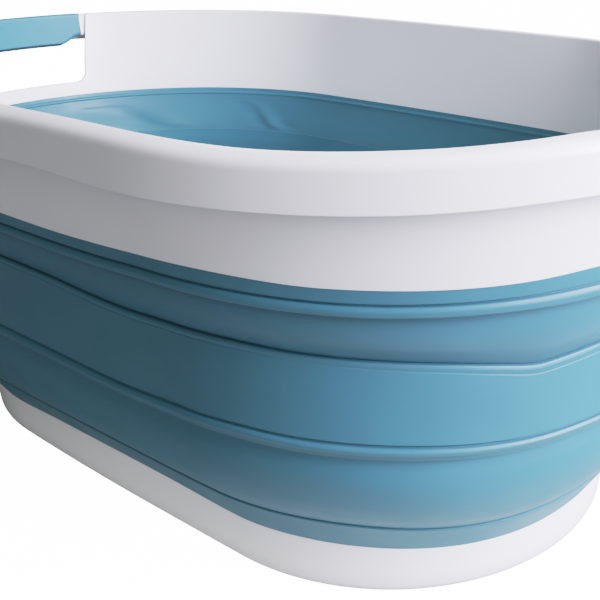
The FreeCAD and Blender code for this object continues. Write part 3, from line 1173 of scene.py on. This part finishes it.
def makeStage():
    half = stageLook["size"] / 2
    corners = [(-half, -half, 0), (half, -half, 0), (half, half, 0), (-half, half, 0)]
    floor = meshFrom("studioFloor", corners, [(0, 1, 2, 3)])
    material = bpy.data.materials.new("studioFloor")
    material.use_nodes = True
    tree = material.node_tree
    shader = tree.nodes["Principled BSDF"]
    shader.inputs["Base Color"].default_value = (*stageLook["floor"], 1)
    shader.inputs["Roughness"].default_value = 0.9
    shader.inputs["Emission Color"].default_value = (1, 1, 1, 1)
    path = addNode(tree, "ShaderNodeLightPath")
    place = addNode(tree, "ShaderNodeTexCoord").outputs["Object"]
    scale = {"Scale": stageLook["nearStretch"]}
    stretch = addNode(tree, "ShaderNodeMapping", scale, {"Vector": place})
    stretch.inputs["Location"].default_value = [-value for value in stageLook["nearCentre"]]
    away = addNode(
        tree, "ShaderNodeVectorMath", {"operation": "LENGTH"}, {"Vector": stretch.outputs["Vector"]}
    )
    near = addNode(
        tree,
        "ShaderNodeMapRange",
        {"From Min": stageLook["nearEdge"][0], "From Max": stageLook["nearEdge"][1], "To Max": 0.0},
        {"Value": away.outputs["Value"]},
    )
    near.inputs["To Min"].default_value = stageLook["nearGlow"]
    across = addNode(tree, "ShaderNodeSeparateXYZ", links={"Vector": place})
    leans = []
    for span, share in (("sideFrom", "sideShare"), ("glossFrom", "glossShare")):
        values = dict(zip(("From Min", "From Max"), stageLook[span]))
        values.update(zip(("To Min", "To Max"), stageLook[share]))
        leans.append(addNode(tree, "ShaderNodeMapRange", values, {"Value": across.outputs["X"]}))
    lean, glossLean = leans
    either = addNode(tree, "ShaderNodeMix", {"data_type": "FLOAT"})
    tree.links.new(path.outputs["Is Glossy Ray"], either.inputs[0])
    tree.links.new(lean.outputs["Result"], either.inputs[2])
    tree.links.new(glossLean.outputs["Result"], either.inputs[3])
    patch = addNode(tree, "ShaderNodeMath", {"operation": "MULTIPLY"})
    tree.links.new(near.outputs["Result"], patch.inputs[0])
    tree.links.new(either.outputs[0], patch.inputs[1])
    glow = addNode(tree, "ShaderNodeMix", {"data_type": "FLOAT"})
    glow.inputs[3].default_value = stageLook["seenGlow"]
    tree.links.new(path.outputs["Is Camera Ray"], glow.inputs[0])
    tree.links.new(patch.outputs[0], glow.inputs[2])
    tree.links.new(glow.outputs[0], shader.inputs["Emission Strength"])
    floor.data.materials.append(material)


worldLook = {
    "left": (0.085, 0.09, 0.09),
    "middle": (0.27, 0.285, 0.245),
    "right": (1.3, 1.3, 1.40),
    "strength": 0.85,
    "seen": 6.0,
}


def makeWorld():
    world = bpy.data.worlds.new("studio")
    bpy.context.scene.world = world
    world.use_nodes = True
    tree = world.node_tree
    tree.nodes.clear()
    coordinate = addNode(tree, "ShaderNodeTexCoord")
    split = addNode(tree, "ShaderNodeSeparateXYZ", links={"Vector": coordinate.outputs["Generated"]})
    span = {"From Min": -1.0, "From Max": 1.0}
    share = addNode(tree, "ShaderNodeMapRange", span, {"Value": split.outputs["X"]})
    tone = addNode(tree, "ShaderNodeValToRGB", links={"Fac": share.outputs["Result"]})
    ramp = tone.color_ramp
    ramp.elements[0].color = (*worldLook["left"], 1)
    ramp.elements[1].color = (*worldLook["right"], 1)
    ramp.elements.new(0.5).color = (*worldLook["middle"], 1)
    strength = {"Strength": worldLook["strength"]}
    light = addNode(tree, "ShaderNodeBackground", strength, {"Color": tone.outputs["Color"]})
    plain = addNode(tree, "ShaderNodeBackground", {"Strength": worldLook["seen"]})
    plain.inputs["Color"].default_value = (1, 1, 1, 1)
    path = addNode(tree, "ShaderNodeLightPath")
    mix = addNode(tree, "ShaderNodeMixShader")
    tree.links.new(path.outputs["Is Camera Ray"], mix.inputs[0])
    tree.links.new(light.outputs[0], mix.inputs[1])
    tree.links.new(plain.outputs[0], mix.inputs[2])
    output = addNode(tree, "ShaderNodeOutputWorld")
    tree.links.new(mix.outputs[0], output.inputs["Surface"])


lamps = {
    "key": {
        "place": (1.05, 0.14, 0.60),
        "size": (0.55, 0.55),
        "power": 27.5,
        "colour": (1.0, 0.975, 1.24),
    },
    "top": {
        "place": (0.60, 0.36, 1.38),
        "size": (1.0, 0.9),
        "power": 13.5,
        "colour": (1.0, 1.0, 1.02),
    },
    "rear": {
        "place": (-1.0, 1.5, 0.8),
        "size": (1.2, 1.0),
        "power": 9.0,
        "colour": (1.0, 1.0, 1.0),
    },
}


def makeLamps():
    target = Vector((0, 0, 0.15))
    for name, lamp in lamps.items():
        data = bpy.data.lights.new(name, "AREA")
        data.shape = "RECTANGLE"
        data.size, data.size_y = lamp["size"]
        data.energy = lamp["power"]
        data.color = lamp["colour"]
        obj = bpy.data.objects.new(name, data)
        obj.location = lamp["place"]
        obj.rotation_euler = (target - obj.location).to_track_quat("-Z", "Y").to_euler()
        obj.visible_camera = False
        bpy.context.scene.collection.objects.link(obj)


filmCurve = {
    # scene brightness -> what the print shows: a soft shoulder above the middle tones
    "whiteLevel": 6.0,
    "points": [
        (0.2, 0.205), (0.45, 0.43), (0.75, 0.59), (1.2, 0.715), (1.9, 0.82), (2.8, 0.89),
        (4.2, 0.96),
    ],
}


def makeFilm():
    view = bpy.context.scene.view_settings
    view.view_transform = "Standard"
    view.use_curve_mapping = True
    mapping = view.curve_mapping
    mapping.white_level = (filmCurve["whiteLevel"],) * 3
    curve = mapping.curves[3]
    for bright, shown in filmCurve["points"]:
        curve.points.new(bright / filmCurve["whiteLevel"], shown)
    mapping.update()


cameraSet = {
    "azimuth": 39.1,
    "elevation": 20.812,
    "distance": 0.6162,
    "target": (0.09791, 0.00131, 0.13867),
    "lens": 57.302,
    "shift": (-0.1333, -0.0583),
}


def makeCamera():
    data = bpy.data.cameras.new("camera")
    data.lens = cameraSet["lens"]
    data.sensor_width = 36.0
    data.shift_x, data.shift_y = cameraSet["shift"]
    data.clip_start = 0.02
    camera = bpy.data.objects.new("camera", data)
    turn, rise = math.radians(cameraSet["azimuth"]), math.radians(cameraSet["elevation"])
    back = Vector((math.sin(turn) * math.cos(rise), -math.cos(turn) * math.cos(rise), math.sin(rise)))
    camera.location = Vector(cameraSet["target"]) + back * cameraSet["distance"]
    camera.rotation_mode = "QUATERNION"
    camera.rotation_quaternion = (-back).to_track_quat("-Z", "Y")
    bpy.context.scene.collection.objects.link(camera)
    bpy.context.scene.camera = camera


makeStage()
makeWorld()
makeLamps()
makeCamera()
makeFilm()
bpy.context.view_layer.update()
print("stage, lamps and camera done")
